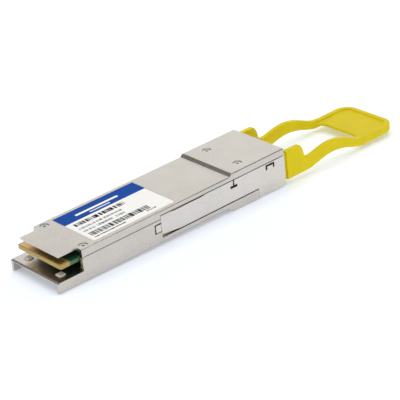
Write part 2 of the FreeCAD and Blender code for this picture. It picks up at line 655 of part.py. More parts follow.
# Chips and coils: name, centre along X and Y, side of the square, height, under the board or not.
CHIPS = [
    ("laser_driver_chip", 30, -3.8, 5, "ChipTall", False),
    ("receiver_amplifier_chip", 30, 3.8, 5, "ChipTall", False),
    ("microcontroller_chip", 19, 0, 6, "0.8", True),
    ("voltage_regulator_chip", 28.5, 3.2, 4, "0.9", True),
]
COILS = [
    ("InductorFront", 28.5, -1.5, 3, "1.5", True),
    ("InductorBack", 28.5, -4.9, 3, "1.5", True),
]
ROW_COUNT = 6


def on_board(label, centre, plan, tall, below=False):
    """A component soldered on the board's upper or lower face, as (x, y) centre and plan."""
    x, y = ((f"{c} - {p} / 2", f"{c} + {p} / 2") for c, p in zip(centre, plan))
    z = (f"BoardZ - {tall}", "BoardZ") if below else (TOP, f"{TOP} + {tall}")
    return block(label, x, y, z)


def make_rows(label, prefix, y, plan, tall):
    """Two rows of equal small parts, one each side of the middle."""
    parts = []
    for side, sign in SIDES:
        for index in range(ROW_COUNT):
            centre = (f"PassiveX + {index} * PassivePitch", f"{sign} * {y}")
            parts.append(on_board(f"{prefix}{side}{index}", centre, plan, tall))
    node(group(label, parts), label)


def make_electronics():
    """The chips, coils and small passive parts on both faces of the board."""
    for label, x, y, side, tall, below in CHIPS:
        node(on_board(label, (x, y), (side, side), tall, below), label)
    coils = [on_board(label, (x, y), (side, side), tall, below)
             for label, x, y, side, tall, below in COILS]
    node(group("power_inductors", coils), "power_inductors")
    make_rows("ceramic_capacitors", "Capacitor", "CapacitorY", ("CapacitorLength", "CapacitorSide"),
              "CapacitorSide")
    make_rows("chip_resistors", "Resistor", "ResistorY", ("ResistorLength", "ResistorWidth"),
              "ResistorTall")


DIE_COUNT = 4
PACKAGE_MIDDLE = "(PackageInnerY + PackageOuterY) / 2"


def make_optics(prefix, dies, sign):
    """One optical package: an open box with its lid, chips on their carrier and a lens array."""
    middle = f"{sign} * {PACKAGE_MIDDLE}"
    y = across(sign, "PackageInnerY", "PackageOuterY")
    room = across(sign, "PackageInnerY + PackageWall", "PackageOuterY - PackageWall")
    x = ("PackageX", "PackageEndX")
    outer = block(f"{prefix}Outer", x, y, ("PackageLowZ", "PackageTopZ"))
    inner = block(f"{prefix}Inner", ("PackageX + PackageWall", "PackageEndX - PackageWall"), room,
                  ("PackageFloorZ", "PackageTopZ + 1"))
    port = block(f"{prefix}Port", ("PackageEndX - 1", "PackageEndX + 1"),
                 (f"{middle} - PortHalf", f"{middle} + PortHalf"),
                 ("FerruleZ - PortTall / 2", "FerruleZ + PortTall / 2"))
    node(cut(f"{prefix}Box", outer, [inner, port]), f"{prefix}_package")
    node(block(f"{prefix}Cover", x, y, ("PackageTopZ", "PackageTopZ + LidThick")), f"{prefix}_lid")

    across_carrier = (f"{middle} - CarrierHalf", f"{middle} + CarrierHalf")
    pieces = [block(f"{prefix}Carrier", ("CarrierX", "CarrierX + CarrierLength"), across_carrier,
                    ("PackageFloorZ", "CarrierTopZ"))]
    for index in range(DIE_COUNT):
        centre = f"{middle} + {index - (DIE_COUNT - 1) / 2} * DiePitch"
        pieces.append(block(f"{prefix}Die{index}", ("DieX", "DieX + DieLength"),
                            (f"{centre} - DieWidth / 2", f"{centre} + DieWidth / 2"),
                            ("CarrierTopZ", "CarrierTopZ + DieTall")))
    node(group(f"{prefix}Dies", pieces), dies)
    node(block(f"{prefix}Lens", ("LensX", "LensX + LensLength"), across_carrier,
               ("PackageFloorZ", "LensTopZ")), f"{prefix}_lens_array")


def make_flex(prefix, sign):
    """Flexible circuit that bridges the board's back edge and the package's front wall."""
    y = across(sign, "PackageInnerY + FlexInset", "PackageOuterY - FlexInset")
    drop_x = "FlexBendX - FlexThick"
    foot = block(f"{prefix}FlexFoot", ("FlexX", "FlexBendX"), y, (TOP, f"{TOP} + FlexThick"))
    drop = block(f"{prefix}FlexDrop", (drop_x, "FlexBendX"), y, ("FlexLowZ", f"{TOP} + FlexThick"))
    reach = block(f"{prefix}FlexReach", (drop_x, "PackageX"), y, ("FlexLowZ", "FlexLowZ + FlexThick"))
    node(fuse(f"{prefix}Flex", [foot, drop, reach]), f"{prefix}_flex_circuit")


def make_ribbon(label, sign):
    """Fibre ribbon that bends in plan from a package's port to its half of the ferrule."""
    thick, width = size("RibbonThick"), size("RibbonWidth")
    level = size("FerruleZ")
    start = FreeCAD.Vector(size("RibbonX"), sign * size("RibbonY"), level)
    end = FreeCAD.Vector(size("FerruleX"), sign * size("RibbonEndY"), level)
    bend = FreeCAD.Vector((end.x - start.x) / 2, 0, 0)
    curve = Part.BezierCurve()
    curve.setPoles([start, start + bend, end - bend, end])
    low = start - FreeCAD.Vector(0, width / 2, thick / 2)
    corners = [(0, 0), (width, 0), (width, thick), (0, thick), (0, 0)]
    profile = Part.makePolygon([low + FreeCAD.Vector(0, y, z) for y, z in corners])
    ribbon = doc.addObject("Part::Feature", label)
    ribbon.Shape = Part.Wire([curve.toShape()]).makePipeShell([profile], True, False)
    ribbon.Placement = FreeCAD.Placement()
    node(ribbon, label)


def make_ferrule():
    """MT ferrule with a flange, its two guide pins and the clamp that holds them."""
    half, tall = "FerruleWidth / 2", "FerruleTall / 2"
    ferrule = body("mt_ferrule")
    pad_up(ferrule, "FerruleBody", ("FerruleX", "FerruleX + FerruleLength"), wide(half),
           (f"FerruleZ - {tall}", f"FerruleZ + {tall}"))
    pad_up(ferrule, "FerruleCollar", ("FerruleX", "FerruleX + FerruleFlangeLong"),
           wide(f"{half} + FerruleFlange"),
           (f"FerruleZ - {tall} - FerruleFlange", f"FerruleZ + {tall} + FerruleFlange"))
    bores = sketch_on(ferrule, "PinBores", "YZ_Plane", "FerruleX - 1")
    for y in wide("GuidePinSpan / 2"):
        circle(bores, y, "FerruleZ", "GuidePinRadius")
    drilled = feature(ferrule, "Pocket", "PinHoles", bores, "FerruleLength + 2")
    drilled.Reversed = True

    def pin(side, sign):
        return rod(f"GuidePin{side}", "GuidePinX", f"{sign} * GuidePinSpan / 2", "FerruleZ",
                   "GuidePinRadius", "GuidePinLength", along="x")

    node(group("GuidePins", both_sides(pin)), "ferrule_guide_pins")
    plate = block("ClampPlate", ("FerruleX - ClampLong", "FerruleX"), wide(half),
                  (f"FerruleZ - {tall} - ClampRise", f"FerruleZ + {tall} + ClampRise"))
    window = block("ClampWindow", ("FerruleX - ClampLong - 1", "FerruleX + 1"),
                   wide("ClampWindowHalf"), ("FerruleZ - ClampWindowTall", "FerruleZ + ClampWindowTall"))
    node(cut("PinClamp", plate, [window]), "ferrule_pin_clamp")


def make_receptacle():
    """Housing for the fibre plug: opening with a keyway, front wall window and two latch hooks."""
    inside = "ReceptacleX + ReceptacleFront"
    housing = block("SocketHousing", ("ReceptacleX", "ReceptacleEndX"), wide("ReceptacleHalf"),
                    ("SocketFloorZ", "ReceptacleTopZ"))
    opening = block("SocketOpening", (inside, BEYOND), wide("PlugHalf"), ("PlugLowZ", "PlugHighZ"))
    keyway = block("SocketKeyway", (inside, BEYOND), wide("KeywayHalf"),
                   ("PlugHighZ - Overlap", "PlugHighZ + KeywayDeep"))
    tall = "FerruleTall / 2 + FerruleGap"
    window = block("SocketWindow", ("ReceptacleX - 1", f"{inside} + 1"),
                   wide("FerruleWidth / 2 + FerruleGap"), (f"FerruleZ - ({tall})", f"FerruleZ + {tall}"))
    hollow = cut("SocketHollow", housing, [opening, keyway, window])

    def hook(side, sign):
        tip = f"{inside} + HookLength"
        z = ("FerruleZ - HookHalfTall", "FerruleZ + HookHalfTall")
        beam = block(f"HookBeam{side}", (f"{inside} - Overlap", tip),
                     across(sign, "HookY - HookThick", "HookY"), z)
        barb = block(f"HookBarb{side}", (f"{tip} - HookBarbLength", tip),
                     across(sign, "HookY - HookThick - HookBarb", "HookY - HookThick"), z)
        return fuse(f"Hook{side}", [beam, barb])

    node(fuse("Receptacle", [hollow] + both_sides(hook)), "optical_receptacle")


def make_soft_parts():
    """Heat pads above and below the hot parts, and the springy shield round the receptacle."""
    ceiling = "BodyHeight - CoverThick"
    node(block("ChipPad", ("ChipPadX", "ChipPadX + ChipPadLength"), wide("ChipPadHalf"),
               (f"{TOP} + ChipTall", ceiling)), "upper_thermal_pad")
    package_x = ("PackageX + PackageWall", "PackageEndX - PackageWall")
    node(block("FloorPad", package_x, wide("PackagePadHalf"), ("FloorThick", "PackageLowZ")),
         "lower_thermal_pad")
    node(block("LidPad", package_x, wide("PackagePadHalf"), ("PackageTopZ + LidThick", ceiling)),
         "lid_thermal_pad")
    frame = block("ShieldFrame", ("SocketRoomX + ShieldGap", "ReceptacleX"), wide("ReceptacleHalf"),
                  ("SocketFloorZ", "ReceptacleTopZ"))
    window = block("ShieldWindow", ("SocketRoomX - 1", "ReceptacleX + 1"), wide("ShieldWindowHalf"),
                   ("ShieldWindowLowZ", "ShieldWindowHighZ"))
    node(cut("Shield", frame, [window]), "receptacle_shield")


def make_release_slider():
    """U-shaped sheet-metal slider: two long side arms joined by a plate under the nose."""
    inner = f"{HALF} - SheetThick"
    front, wrap = "LatchX + SheetGap", "WrapX + SheetGap"
    slider = body("release_slider")
    side = sketch_on(slider, "SliderSide", "XZ_Plane")
    polygon(side, [
        (front, "ArmNoseZ"), ("ArmTaperX", "ArmBottomZ"), (wrap, "ArmBottomZ"),
        (wrap, "-NoseDrop"), ("BodyLength", "-NoseDrop"), ("BodyLength", "ArmTopZ"),
        ("ArmReliefEndX + ArmReliefRun", "ArmTopZ"), ("ArmReliefEndX", "ArmReliefZ"),
        ("ArmReliefX", "ArmReliefZ"), ("ArmReliefX - ArmReliefRun", "ArmTopZ"), (front, "ArmTopZ"),
    ])
    blank = feature(slider, "Pad", "SliderBlank", side, "BodyWidth", both=True)
    half, bottom = size("BodyWidth") / 2, -size("NoseDrop")
    dress_edges(slider, "Fillet", "SliderRounding", blank,
                lambda edge: runs_along_x(edge, half, bottom), "EdgeRound")
    pocket_down(slider, "SliderHollow", ("LatchX - 1", BEYOND), wide(inner),
                ("SheetThick - NoseDrop", "ArmTopZ + 1"))

    clip_end = "ClipX + ClipLength"
    cuts = (
        ("KeySlit", ("KeySlitX - KeySlitWidth / 2", "KeySlitX + KeySlitWidth / 2"),
         ("KeySlitZ - Overlap", "ArmTopZ + Overlap")),
        ("KeySlot", ("KeySlitX - KeySlotHalf", "KeySlitX + KeySlotHalf"),
         ("KeySlitZ - KeySlotTall", "KeySlitZ")),
        ("ClipBar", ("ClipX", clip_end), ("ClipHighZ - ClipSlit", "ClipHighZ")),
        ("ClipLegFront", ("ClipX", "ClipX + ClipSlit"), ("ClipLowZ", "ClipHighZ")),
        ("ClipLegBack", (f"{clip_end} - ClipSlit", clip_end), ("ClipLowZ", "ClipHighZ")),
    )
    for name, x, z in cuts:
        pocket_down(slider, name, x, wide(OUTSIDE), z)
    for side_name, sign in SIDES:
        pad_up(slider, f"Tip{side_name}", ("TipX", "LatchX + TipLap"),
               across(sign, f"{HALF} - 1.5 * SheetThick", f"{HALF} - SheetThick / 2"),
               ("TipLowZ", "TipHighZ"))
        pad_up(slider, f"Lug{side_name}", ("LugX", "LugX + LugThick"),
               across(sign, "LugInnerY", f"{inner} + Overlap"),
               ("SpringZ - LugHalf", "SpringZ + LugHalf"))
        pad_up(slider, f"Clip{side_name}", ("ClipX + ClipSlit", f"{clip_end} - ClipSlit"),
               across(sign, f"{inner} - ClipBend", f"{inner} + Overlap"),
               ("ClipLowZ", "ClipHighZ - ClipSlit - ClipBendDrop"))


def make_springs():
    """Return springs between the slider's lugs and the back walls of their channels."""
    wire, coil = size("WireRadius"), size("CoilRadius")
    ends = 2 * wire + size("Overlap")
    start = size("LugX") + size("LugThick") + ends
    length = size("ChannelEndX") - ends - start
    for label, sign in (("right_return_spring", -1), ("left_return_spring", 1)):
        helix = Part.makeHelix(size("SpringPitch"), length, coil)
        section = Part.makeCircle(wire, FreeCAD.Vector(coil, 0, 0), FreeCAD.Vector(0, 1, 0))
        spring = doc.addObject("Part::Feature", label)
        spring.Shape = Part.Wire(helix.Edges).makePipeShell([Part.Wire([section])], True, True)
        spring.Placement = FreeCAD.Placement(
            FreeCAD.Vector(start, sign * size("SpringY"), size("SpringZ")),
            FreeCAD.Rotation(FreeCAD.Vector(0, 1, 0), 90))
        node(spring, label)


# Side view of the tab's arms as (x, z): the lower edge from the plates back to the finger pad, and
# the upper edge from the pad forward, over the wave and round the notch, to the top of the hump.
ARM_UNDER = [(83.2, 0.5), (86.4, 1.28), (89.8, 1.56), (93.6, 1.02), (96.8, -0.02), (99.4, -0.68)]
ARM_OVER = [(98.4, 1.8), (94.7, 3.42), (91.4, 4.42), (88.6, 4.7), (85.4, 4.36), (82.6, 3.74),
            (80.9, 3.58), (79.75, 3.95), (79.3, 4.9), (79.05, 6.1), (78.5, 7.25)]
HUMP_X, HUMP_TOP = 76.9, 7.82
# Where the flat lower edge ends, and how far past the web's front edge the two curves reach.
FLAT_END_X = 80.0
UNDER_REACH, OVER_REACH = 0.5, 1.0


def side_view(x, z):
    return FreeCAD.Vector(x, 0, z)


def smooth(points, heading):
    """A spline edge that leaves its first point and reaches its last one along the heading."""
    curve = Part.BSplineCurve()
    curve.interpolate(Points=points, InitialTangent=heading, FinalTangent=heading)
    return curve.toShape()


def straight(*corners):
    return [Part.LineSegment(a, b).toShape() for a, b in zip(corners, corners[1:])]


def rounded_plate(start, stop, half, corner, z):
    """A plate between two heights, with its two back corners rounded."""
    plate = Part.makeBox(stop - start, 2 * half, z[1] - z[0], FreeCAD.Vector(start, -half, z[0]))
    back = [edge for edge in plate.Edges
            if all(abs(vertex.X - stop) < 1e-6 for vertex in edge.Vertexes)
            and edge.BoundBox.YLength < 1e-6]
    return plate.makeFillet(corner, back)


def arm_profile():
    """Face of the tab's outline in the side view, from behind the nose to its back end."""
    front, end = size("ArmX"), size("TabEndX")
    low, rim_low, rim_top = size("TabLowZ"), size("RimLowZ"), size("RimTopZ")
    turn = size("RimRound")
    plate_end, pad = side_view(FLAT_END_X, low), size("PadX")
    under_end = side_view(pad + UNDER_REACH, rim_low)
    over_start = side_view(pad + OVER_REACH, rim_top)
    back, ahead = FreeCAD.Vector(1, 0, 0), FreeCAD.Vector(-1, 0, 0)
    hump = side_view(HUMP_X, HUMP_TOP)
    under = [plate_end] + [side_view(*place) for place in ARM_UNDER] + [under_end]
    over = [over_start] + [side_view(*place) for place in ARM_OVER] + [hump]
    middle = turn * (1 - math.sqrt(0.5))
    edges = straight(side_view(front, low), plate_end) + [smooth(under, back)]
    edges += straight(under_end, side_view(end - turn, rim_low))
    edges.append(Part.Arc(side_view(end - turn, rim_low), side_view(end - middle, rim_low + middle),
                          side_view(end, rim_low + turn)).toShape())
    edges += straight(side_view(end, rim_low + turn), side_view(end, rim_top), over_start)
    edges.append(smooth(over, ahead))
    edges += straight(hump, side_view(front, size("ArmFrontZ")), side_view(front, low))
    return Part.Face(Part.Wire(edges))


def make_pull_tab():
    """Moulded tab: side plates clipped in the slider, waved arms and a rimmed finger pad."""
    front, end, pad = size("ArmX"), size("TabEndX"), size("PadX")
    outer, corner, rim = size("ArmOuterY"), size("PadCorner"), size("RimThick")
    inner = outer - size("ArmThick")
    tall = (size("RimLowZ") - 1, HUMP_TOP + 1)
    web_z = (size("PadLowZ"), size("PadTopZ"))
    arms = arm_profile().extrude(FreeCAD.Vector(0, 2 * outer, 0))
    arms.translate(FreeCAD.Vector(0, -outer, 0))
    frame = rounded_plate(front, end, outer, corner, tall)
    frame = frame.cut(rounded_plate(front - 1, end - rim, inner, corner - rim, tall))
    web = rounded_plate(pad - size("PadFillet"), end - rim / 2, inner + rim / 2, corner - rim / 2, web_z)
    web = web.cut(rounded_plate(front, pad, inner, size("PadFillet"), web_z))
    tab = arms.common(frame).fuse(web)

    plate_x, plate_y = size("TabPlateX"), size("TabPlateY")
    thick, low = size("TabPlateThick"), size("TabLowZ")
    for y in (-plate_y, plate_y - thick):
        tab = tab.fuse(Part.makeBox(front + size("TabPlateLap") - plate_x, thick,
                                    size("TabPlateHighZ") - low, FreeCAD.Vector(plate_x, y, low)))
    spare, clip_low = size("TabWindowSpare"), size("ClipLowZ")
    window = Part.makeBox(size("ClipLength") + 2 * spare, 4 * outer,
                          size("ClipHighZ") - clip_low + spare + size("SheetGap"),
                          FreeCAD.Vector(size("ClipX") - spare, -2 * outer, clip_low - spare))
    pull = doc.addObject("Part::Feature", "PullTab")
    pull.Shape = tab.cut(window).removeSplitter()
    pull.Placement = FreeCAD.Placement()
    node(pull, "pull_tab")


def check_document():
    """Stops if any object failed or any sub-part is empty or broken."""
    for item in doc.Objects:
        if "Invalid" in item.State or "Error" in item.State:
            raise RuntimeError(f"{item.Label} failed: {item.State}")
    for piece in NODES:
        if piece.Shape.isNull() or not piece.Shape.isValid():
            raise RuntimeError(f"{piece.Label} has no valid shape")


def export_nodes():
    os.makedirs("parts", exist_ok=True)
    for piece in NODES:
        piece.Shape.exportStep(f"parts/{piece.Label}.step")
        box = piece.Shape.BoundBox
        print(f"{piece.Label}: {len(piece.Shape.Solids)} solids, {piece.Shape.Volume:.2f} mm3, "
              f"x {box.XMin:.2f}..{box.XMax:.2f} y {box.YMin:.2f}..{box.YMax:.2f} "
              f"z {box.ZMin:.2f}..{box.ZMax:.2f}")


fill_sheet()
make_lower_shell()
make_upper_shell()
make_screws("front_cover_screws", "FrontScrewX", "FrontScrewY", "BodyHeight")
make_screws("nose_cover_screws", "NoseScrewX", "NoseScrewY", "NoseTop")
make_label()
make_circuit_board()
make_contacts("top_edge_contacts", TOP)
make_contacts("bottom_edge_contacts", "BoardZ - ContactThick")
make_electronics()
for prefix, dies, sign in (("transmitter", "laser_array", 1), ("receiver", "photodiode_array", -1)):
    make_optics(prefix, dies, sign)
    make_flex(prefix, sign)
make_ribbon("transmit_fibre_ribbon", 1)
make_ribbon("receive_fibre_ribbon", -1)
make_ferrule()
make_receptacle()
make_soft_parts()
make_release_slider()
make_springs()
make_pull_tab()
doc.recompute()
check_document()
export_nodes()
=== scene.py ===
import json
import math

import bmesh
import bpy
from mathutils import Matrix, Vector


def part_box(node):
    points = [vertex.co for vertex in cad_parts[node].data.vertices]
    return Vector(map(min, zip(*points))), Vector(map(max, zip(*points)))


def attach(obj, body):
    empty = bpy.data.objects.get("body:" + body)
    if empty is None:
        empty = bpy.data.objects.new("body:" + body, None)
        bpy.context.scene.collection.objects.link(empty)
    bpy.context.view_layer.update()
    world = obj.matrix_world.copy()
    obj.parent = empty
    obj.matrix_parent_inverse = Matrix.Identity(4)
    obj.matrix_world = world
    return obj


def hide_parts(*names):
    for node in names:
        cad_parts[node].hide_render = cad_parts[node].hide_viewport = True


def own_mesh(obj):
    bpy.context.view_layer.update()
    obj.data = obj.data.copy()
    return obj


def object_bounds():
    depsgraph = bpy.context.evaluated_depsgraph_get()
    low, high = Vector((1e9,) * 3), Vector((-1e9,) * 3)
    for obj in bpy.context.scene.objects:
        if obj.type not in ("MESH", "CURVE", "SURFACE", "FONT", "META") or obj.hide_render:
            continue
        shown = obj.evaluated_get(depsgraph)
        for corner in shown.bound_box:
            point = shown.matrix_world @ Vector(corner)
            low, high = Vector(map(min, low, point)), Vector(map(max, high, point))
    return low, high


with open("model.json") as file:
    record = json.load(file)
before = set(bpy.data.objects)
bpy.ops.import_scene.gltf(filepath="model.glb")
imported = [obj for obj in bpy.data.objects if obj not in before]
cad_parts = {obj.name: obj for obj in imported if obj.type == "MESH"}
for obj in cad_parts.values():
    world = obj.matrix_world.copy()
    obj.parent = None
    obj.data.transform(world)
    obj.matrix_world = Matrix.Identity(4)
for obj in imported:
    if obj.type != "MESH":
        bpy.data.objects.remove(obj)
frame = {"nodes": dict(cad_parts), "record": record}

CAD_LOW, CAD_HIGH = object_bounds()
MM = 0.001


# ---- camera, floor and light ----

CAMERA_TARGET = Vector((0.04850, -0.00368, 0.00274))
CAMERA_DISTANCE = 0.44888
CAMERA_AZIMUTH = math.radians(-39.107)
CAMERA_ELEVATION = math.radians(27.189)
CAMERA_ROLL = math.radians(-5.934)
CAMERA_LENS = 164.61
CAMERA_SENSOR = 36.0
CAMERA_NEAR, CAMERA_FAR = 0.01, 10


def make_camera():
    """A long lens that looks down on the module's front corner from its right side."""
    back = Vector((math.sin(CAMERA_AZIMUTH) * math.cos(CAMERA_ELEVATION),
                   -math.cos(CAMERA_AZIMUTH) * math.cos(CAMERA_ELEVATION),
                   math.sin(CAMERA_ELEVATION)))
    data = bpy.data.cameras.new("Camera")
    data.lens = CAMERA_LENS
    data.sensor_width = CAMERA_SENSOR
    data.clip_start = CAMERA_NEAR
    data.clip_end = CAMERA_FAR
    camera = bpy.data.objects.new("Camera", data)
    level = (-back).to_track_quat("-Z", "Y").to_matrix()
    tilt = Matrix.Rotation(CAMERA_ROLL, 3, back)
    place = Matrix.Translation(CAMERA_TARGET + back * CAMERA_DISTANCE)
    camera.matrix_world = place @ (tilt @ level).to_4x4()
    bpy.context.scene.collection.objects.link(camera)
    bpy.context.scene.camera = camera


def srgb(red, green, blue):
    """A linear colour from the three values, 0 to 255, that a screen would show."""
    def linear(value):
        share = value / 255
        return share / 12.92 if share <= 0.04045 else ((share + 0.055) / 1.055) ** 2.4
    return (linear(red), linear(green), linear(blue), 1)


FLOOR_HALF = 2.0
FLOOR_GAP = 0.02 * MM
FLOOR_COLOR = (0.86, 0.905, 0.985, 1)
FLOOR_ROUGHNESS = 0.9
# Light that the paper gives off itself, so that its shadows stay pale.
FLOOR_GLOW = (0.24, 0.25, 0.265, 1)


def make_floor():
    """White paper that the front lip and the bottom of the nose rest on, so it slopes a little."""
    low_points = [vertex.co for vertex in frame["nodes"]["lower_shell"].data.vertices
                  if vertex.co.z < CAD_LOW.z + FLOOR_GAP]
    nose = min(low_points, key=lambda point: point.x)
    mesh = bpy.data.meshes.new("floor")
    corners = [(-1, -1), (1, -1), (1, 1), (-1, 1)]
    mesh.from_pydata([(x * FLOOR_HALF, y * FLOOR_HALF, 0) for x, y in corners], [], [(0, 1, 2, 3)])
    floor = bpy.data.objects.new("floor", mesh)
    floor.location.z = -FLOOR_GAP
    floor.rotation_euler.y = math.atan2(-nose.z, nose.x)
    bpy.context.scene.collection.objects.link(floor)
    material = bpy.data.materials.new("floor_paper")
    material.use_nodes = True
    shader = material.node_tree.nodes["Principled BSDF"]
    shader.inputs["Base Color"].default_value = FLOOR_COLOR
    shader.inputs["Roughness"].default_value = FLOOR_ROUGHNESS
    shader.inputs["Specular IOR Level"].default_value = 0
    shader.inputs["Emission Color"].default_value = FLOOR_GLOW
    shader.inputs["Emission Strength"].default_value = 1
    mesh.materials.append(material)


# The studio as height, 0 at the horizon and 1 overhead, and brightness: white walls, a dark gap,
# then the ceiling. The bands lean over the far back corner by the tilt.
STUDIO_BANDS = [(0, 1.28), (0.41, 1.28), (0.47, 0.1), (0.86, 0.1), (0.93, 0.35), (1, 0.35)]
STUDIO_TILT = (-0.1, -0.1, 1)
STUDIO_TINT = (0.96, 0.985, 1.0)
KEY_HEIGHT = 0.70
KEY_SIZE = 0.9
KEY_POWER = 4.2
KEY_COLOR = (1.0, 0.98, 0.95)


def make_studio():
    """Walls and ceiling as one soft ring of light round the horizon, and a large lamp overhead."""
    world = bpy.data.worlds.new("studio")
    bpy.context.scene.world = world
    world.use_nodes = True
    tree = world.node_tree
    direction = tree.nodes.new("ShaderNodeTexCoord")
    height = tree.nodes.new("ShaderNodeVectorMath")
    height.operation = "DOT_PRODUCT"
    height.inputs[1].default_value = STUDIO_TILT
    bands = tree.nodes.new("ShaderNodeValToRGB")
    stops = bands.color_ramp.elements
    while len(stops) < len(STUDIO_BANDS):
        stops.new(0.5)
    for stop, (position, brightness) in zip(stops, STUDIO_BANDS):
        stop.position = position
        stop.color = [brightness * share for share in STUDIO_TINT] + [1]
    tree.links.new(direction.outputs["Generated"], height.inputs[0])
    tree.links.new(height.outputs["Value"], bands.inputs["Fac"])
    tree.links.new(bands.outputs["Color"], tree.nodes["Background"].inputs["Color"])

    data = bpy.data.lights.new("key", "AREA")
    data.size = KEY_SIZE
    data.energy = KEY_POWER
    data.color = KEY_COLOR
    lamp = bpy.data.objects.new("key", data)
    middle = (CAD_LOW + CAD_HIGH) / 2
    lamp.location = (middle.x, middle.y, KEY_HEIGHT)
    bpy.context.scene.collection.objects.link(lamp)
    bpy.context.scene.view_settings.view_transform = "Standard"


# ---- materials: one graph each, with patterns in the module's own frame ----


# Nearly all values of a noise lie in this range.
NOISE_SPAN = (0.3, 0.7)
EDGE_SAMPLES = 6
# How alike the true and the rounded normal are where wear starts, and where it is full.
EDGE_ALIKE = (0.995, 0.9)
# How far a normal points up or down where a face starts to count as level, and where it does.
LEVEL_SPAN = (0.6, 0.8)


class Paint:
    """A material under construction. Lengths given to its patterns are millimetres."""

    def __init__(self, slot, color, roughness, **sockets):
        self.slot = slot
        self.material = bpy.data.materials.new(slot + "_look")
        self.material.use_nodes = True
        self.tree = self.material.node_tree
        self.shader = self.tree.nodes["Principled BSDF"]
        self.color = color
        self.set(Base_Color=color, Roughness=roughness, **sockets)
        self.place = self.add("ShaderNodeTexCoord").outputs["Object"]
        self.x, self.y, self.z = self.add("ShaderNodeSeparateXYZ", Vector=self.place).outputs

    def add(self, kind, settings=None, **inputs):
        """A new node, with its settings and what feeds its sockets."""
        made = self.tree.nodes.new(kind)
        for name, value in (settings or {}).items():
            setattr(made, name, value)
        for name, value in inputs.items():
            self.feed(made.inputs[name.replace("_", " ")], value)
        return made

    def feed(self, socket, value):
        if isinstance(value, bpy.types.NodeSocket):
            self.tree.links.new(value, socket)
        else:
            socket.default_value = value

    def set(self, **sockets):
        """Values or links for the shader's own sockets."""
        for name, value in sockets.items():
            self.feed(self.shader.inputs[name.replace("_", " ")], value)

    def math(self, operation, *values):
        made = self.add("ShaderNodeMath", {"operation": operation})
        for socket, value in zip(made.inputs, values):
            self.feed(socket, value)
        return made.outputs[0]

    def noise(self, size, stretch=(1, 1, 1), detail=3.0):
        """Cloudy values about 0.5, with patches of the given size, stretched along an axis."""
        scale = tuple(1 / (size * MM * factor) for factor in stretch)
        place = self.add("ShaderNodeMapping", Vector=self.place, Scale=scale).outputs[0]
        return self.add("ShaderNodeTexNoise", Vector=place, Scale=1.0, Detail=detail).outputs[0]

    def remap(self, value, source, target):
        """The value moved from one range to another, held at its ends."""
        return self.add("ShaderNodeMapRange", Value=value, From_Min=source[0], From_Max=source[1],
                        To_Min=target[0], To_Max=target[1]).outputs[0]

    def between(self, value, low, high):
        """1 where a coordinate lies between two lengths."""
        return self.math("COMPARE", value, (low + high) / 2 * MM, (high - low) / 2 * MM)

    def inside(self, low, start, length, bottom, height):
        """1 in a rectangle seen from above, measured from a low corner."""
        return self.math("MULTIPLY", self.between(self.x, low.x + start, low.x + start + length),
                         self.between(self.y, low.y + bottom, low.y + bottom + height))

    def blend(self, amount, first, second):
        made = self.add("ShaderNodeMix", {"data_type": "RGBA"})
        for socket, value in zip((made.inputs[0], made.inputs[6], made.inputs[7]), (amount, first, second)):
            self.feed(socket, value)
        return made.outputs[2]

    def relief(self, height, depth):
        """Fine relief of the surface, no deeper than the given depth."""
        self.set(Normal=self.add("ShaderNodeBump", Height=height, Distance=depth * MM).outputs[0])

    def edges(self, width):
        """1 along the edges and 0 on open faces."""
        rounded = self.add("ShaderNodeBevel", {"samples": EDGE_SAMPLES}, Radius=width * MM).outputs[0]
        true = self.add("ShaderNodeNewGeometry").outputs["Normal"]
        alike = self.add("ShaderNodeVectorMath", {"operation": "DOT_PRODUCT"})
        self.feed(alike.inputs[0], rounded)
        self.feed(alike.inputs[1], true)
        return self.remap(alike.outputs["Value"], EDGE_ALIKE, (0, 1))

    def facing_up(self):
        """1 on level faces, top and bottom, and 0 on upright ones."""
        normal = self.add("ShaderNodeNewGeometry").outputs["Normal"]
        z = self.add("ShaderNodeSeparateXYZ", Vector=normal).outputs["Z"]
        return self.remap(self.math("ABSOLUTE", z), LEVEL_SPAN, (0, 1))


def shaded(color, factor):
    """The same colour, lighter or darker."""
    return tuple(min(1, share * factor) for share in color[:3]) + (1,)


# Depth of a metal's grain, as a share of its size.
GRAIN_DEPTH = 0.012


def make_metal(name, color, roughness, grain, streak=(1, 1, 1), wear=0.12):
    """Satin metal: cloudy tint, fine grain or rolling streaks, and brighter worn edges."""
    paint = Paint(name, color, roughness, Metallic=1.0)
    clouds = paint.noise(6, detail=2)
    shade = paint.remap(clouds, NOISE_SPAN, (0, 1))
    tint = paint.blend(shade, shaded(color, 0.96), shaded(color, 1.03))
    fine = paint.noise(grain, streak)
    if wear:
        edges = paint.edges(wear)
        worn = paint.math("MULTIPLY", edges, paint.remap(clouds, (0.35, 0.65), (0.3, 1)))
        tint = paint.blend(worn, tint, shaded(color, 1.2))
    gloss = paint.remap(fine, NOISE_SPAN, (roughness * 0.86, roughness * 1.14))
    paint.set(Base_Color=tint, Roughness=gloss)
    paint.relief(fine, grain * GRAIN_DEPTH)
    return paint


# The two small squares on the front tongue, in mm: their limits along X, out from the middle, and in
# height.
REST_PAD_X = (2.15, 4.0)
REST_PAD_Y = (5.2, 7.0)
REST_PAD_Z = (3.0, 3.3)
# Pale matt colour for the two squares: a painted highlight that stands in for the bright reflection on
# them.
REST_PAD_PAINTED_HIGHLIGHT = (0.93, 0.91, 0.87, 1)
REST_PAD_ROUGHNESS = 0.6


